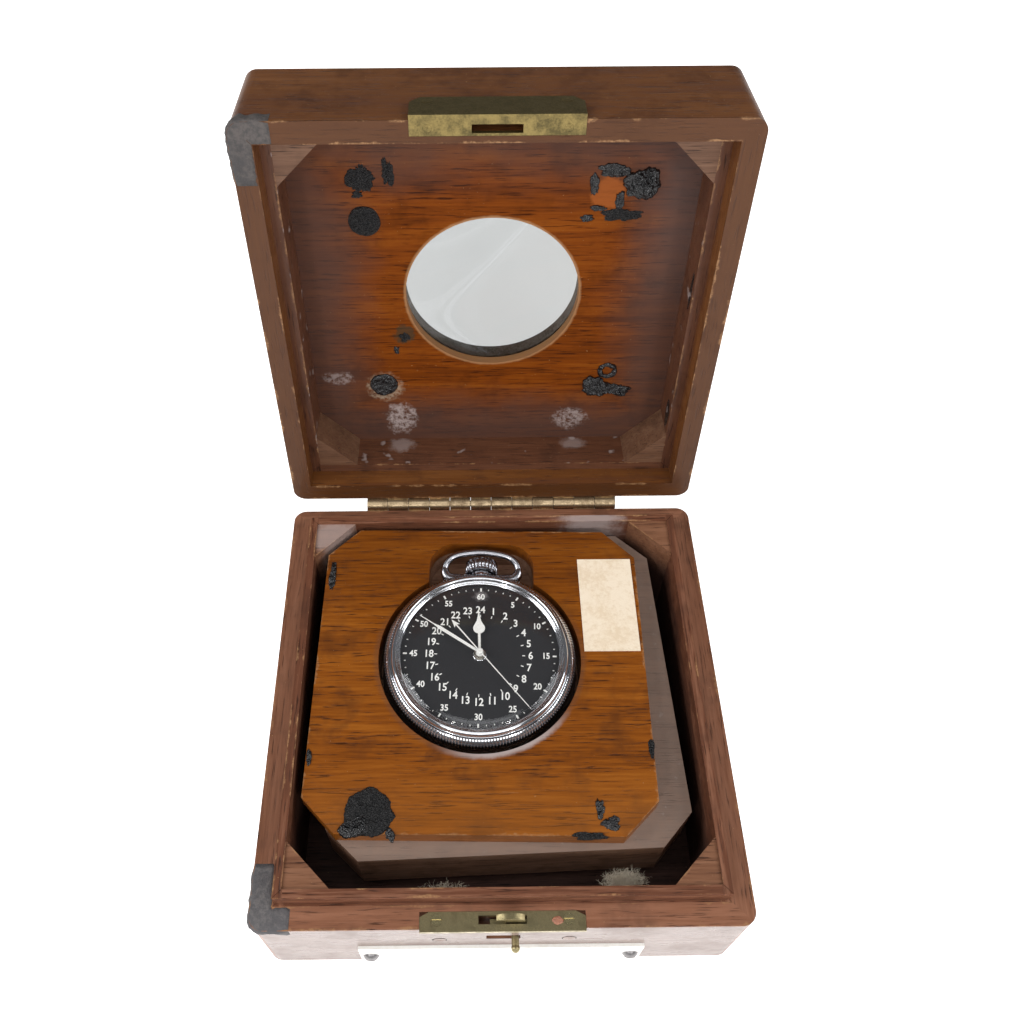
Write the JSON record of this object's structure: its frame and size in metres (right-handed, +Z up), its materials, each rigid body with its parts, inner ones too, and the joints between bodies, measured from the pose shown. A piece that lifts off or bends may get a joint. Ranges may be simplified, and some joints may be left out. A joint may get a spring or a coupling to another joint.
{
  "type": "boxed navigation watch",
  "caption": "Navigation pocket watch with a 24-hour dial in a wooden holder, inside a hinged wooden box with a round window.",
  "frame": {"origin": "middle of the flat underside of the base", "axes": "+Z up through the base, +Y from the catch towards the hinge, +X to the right when facing the catch"},
  "size_m": [0.1176, 0.1661, 0.1518],
  "materials": {
    "mahogany": "old varnished mahogany, worn on the edges",
    "holder_wood": "varnished orange-brown hardwood",
    "under_wood": "dusty brown wood with polished sides",
    "brass": "tarnished brass",
    "steel": "polished nickel-chrome case metal",
    "movement_metal": "damaskeened nickel",
    "glass": "clear glass",
    "dial_black": "satin black enamel with white numbers",
    "hand_white": "white painted",
    "plate_ivory": "engraved ivory-coloured laminate",
    "paper": "cream paper label",
    "sponge": "perished black sponge rubber",
    "felt": "dark felt",
    "putty": "grey putty"
  },
  "bodies": {
    "base": {"base_front": "mahogany", "base_back": "mahogany", "base_left": "mahogany", "base_right": "mahogany", "base_floor": "mahogany", "base_liner": "mahogany", "base_corner_blocks": "mahogany", "floor_pads": "sponge", "name_plate": "plate_ivory", "name_plate_screws": "steel", "catch_plate": "brass", "catch_screws": "brass", "hinge_base_leaf": "brass", "hinge_base_screws": "brass", "hinge_pin": "brass"},
    "bolt": {"catch_bolt": "brass"},
    "lid": {"lid_front": "mahogany", "lid_back": "mahogany", "lid_left": "mahogany", "lid_right": "mahogany", "lid_board": "mahogany", "lid_panel": "mahogany", "lid_liner": "mahogany", "lid_corner_blocks": "mahogany", "window_glass": "glass", "window_putty": "putty", "lid_catch_plate": "brass", "lid_catch_screws": "brass", "hinge_lid_leaf": "brass", "hinge_lid_screws": "brass", "lid_pad_rests": "sponge"},
    "holder": {"holder_top": "holder_wood", "holder_under": "under_wood", "pocket_felt": "felt", "paper_label": "paper", "holder_pad_rests": "sponge"},
    "watch": {"case_back": "steel", "case_band": "steel", "bezel": "steel", "crystal": "glass", "dial": "dial_black", "main_plate": "movement_metal", "train_bridge": "movement_metal", "balance_cock": "movement_metal", "hairspring": "movement_metal"},
    "stem": {"winding_stem": "steel"},
    "crown": {"crown": "steel"},
    "bow": {"bow": "steel"},
    "hour": {"hour_hand": "hand_white", "hour_wheel": "brass"},
    "minute": {"minute_hand": "hand_white", "center_wheel": "brass"},
    "seconds": {"second_hand": "hand_white", "fourth_wheel": "brass"},
    "minute_wheel": {"minute_wheel": "brass"},
    "third_wheel": {"third_wheel": "brass"},
    "escape_wheel": {"escape_wheel": "movement_metal"},
    "pallet": {"pallet_fork": "movement_metal"},
    "balance": {"balance_wheel": "brass"},
    "barrel": {"mainspring_barrel": "brass"}
  },
  "joints": [
    {"name": "lid_hinge", "type": "hinge", "parent": "base", "child": "lid", "pos_m": [0, 0.06115, 0.0318], "axis": [-1, 0, 0], "range_deg": [-97.6, 0]},
    {"name": "catch_slide", "type": "slide", "parent": "base", "child": "bolt", "axis": [1, 0, 0], "range_m": [-0.0056, 0]},
    {"name": "holder_lift", "type": "slide", "parent": "base", "child": "holder", "axis": [0, 0, 1], "range_m": [0, 0.06]},
    {"name": "watch_lift", "type": "slide", "parent": "holder", "child": "watch", "axis": [0, 0, 1], "range_m": [0, 0.04]},
    {"name": "bow_swing", "type": "hinge", "parent": "watch", "child": "bow", "pos_m": [-0.0034, 0.03443, 0.0316], "axis": [0.9994, -0.0349, 0], "range_deg": [0, 70]},
    {"name": "stem_turn", "type": "hinge", "parent": "watch", "child": "stem", "pos_m": [-0.0034, 0.03443, 0.0316], "axis": [0.0349, 0.9994, 0], "continuous": true},
    {"name": "crown_pull", "type": "slide", "parent": "stem", "child": "crown", "axis": [0.0349, 0.9994, 0], "range_m": [0, 0.0008]},
    {"name": "seconds_turn", "type": "hinge", "parent": "watch", "child": "seconds", "pos_m": [-0.0043, 0.00874, 0.0327], "axis": [0, 0, -1], "continuous": true},
    {"name": "minute_turn", "type": "hinge", "parent": "watch", "child": "minute", "pos_m": [-0.0043, 0.00874, 0.0327], "axis": [0, 0, -1], "continuous": true},
    {"name": "hour_turn", "type": "hinge", "parent": "watch", "child": "hour", "pos_m": [-0.0043, 0.00874, 0.0327], "axis": [0, 0, -1], "continuous": true},
    {"name": "minute_wheel_turn", "type": "hinge", "parent": "watch", "child": "minute_wheel", "pos_m": [-0.00326, 0.00132, 0.0337], "axis": [0, 0, 1], "continuous": true},
    {"name": "third_wheel_turn", "type": "hinge", "parent": "watch", "child": "third_wheel", "pos_m": [-0.00835, 0.00226, 0.0297], "axis": [0, 0, 1], "continuous": true},
    {"name": "escape_wheel_turn", "type": "hinge", "parent": "watch", "child": "escape_wheel", "pos_m": [-0.01075, 0.01277, 0.0297], "axis": [0, 0, 1], "continuous": true},
    {"name": "barrel_turn", "type": "hinge", "parent": "watch", "child": "barrel", "pos_m": [0.00383, 0.01402, 0.0297], "axis": [0, 0, 1], "continuous": true},
    {"name": "pallet_rock", "type": "hinge", "parent": "watch", "child": "pallet", "pos_m": [-0.01363, 0.01, 0.0297], "axis": [0, 0, 1], "range_deg": [-5, 5]},
    {"name": "balance_swing", "type": "hinge", "parent": "watch", "child": "balance", "pos_m": [-0.01866, 0.00516, 0.0297], "axis": [0, 0, 1], "range_deg": [-135, 135]}
  ],
  "couplings": [
    {"joint": "minute_turn", "follows": "seconds_turn", "ratio": 0.016667},
    {"joint": "hour_turn", "follows": "seconds_turn", "ratio": 0.00069444},
    {"joint": "minute_wheel_turn", "follows": "seconds_turn", "ratio": 0.0041667},
    {"joint": "third_wheel_turn", "follows": "seconds_turn", "ratio": 0.125},
    {"joint": "escape_wheel_turn", "follows": "seconds_turn", "ratio": 10},
    {"joint": "barrel_turn", "follows": "seconds_turn", "ratio": 0.0025641}
  ]
}
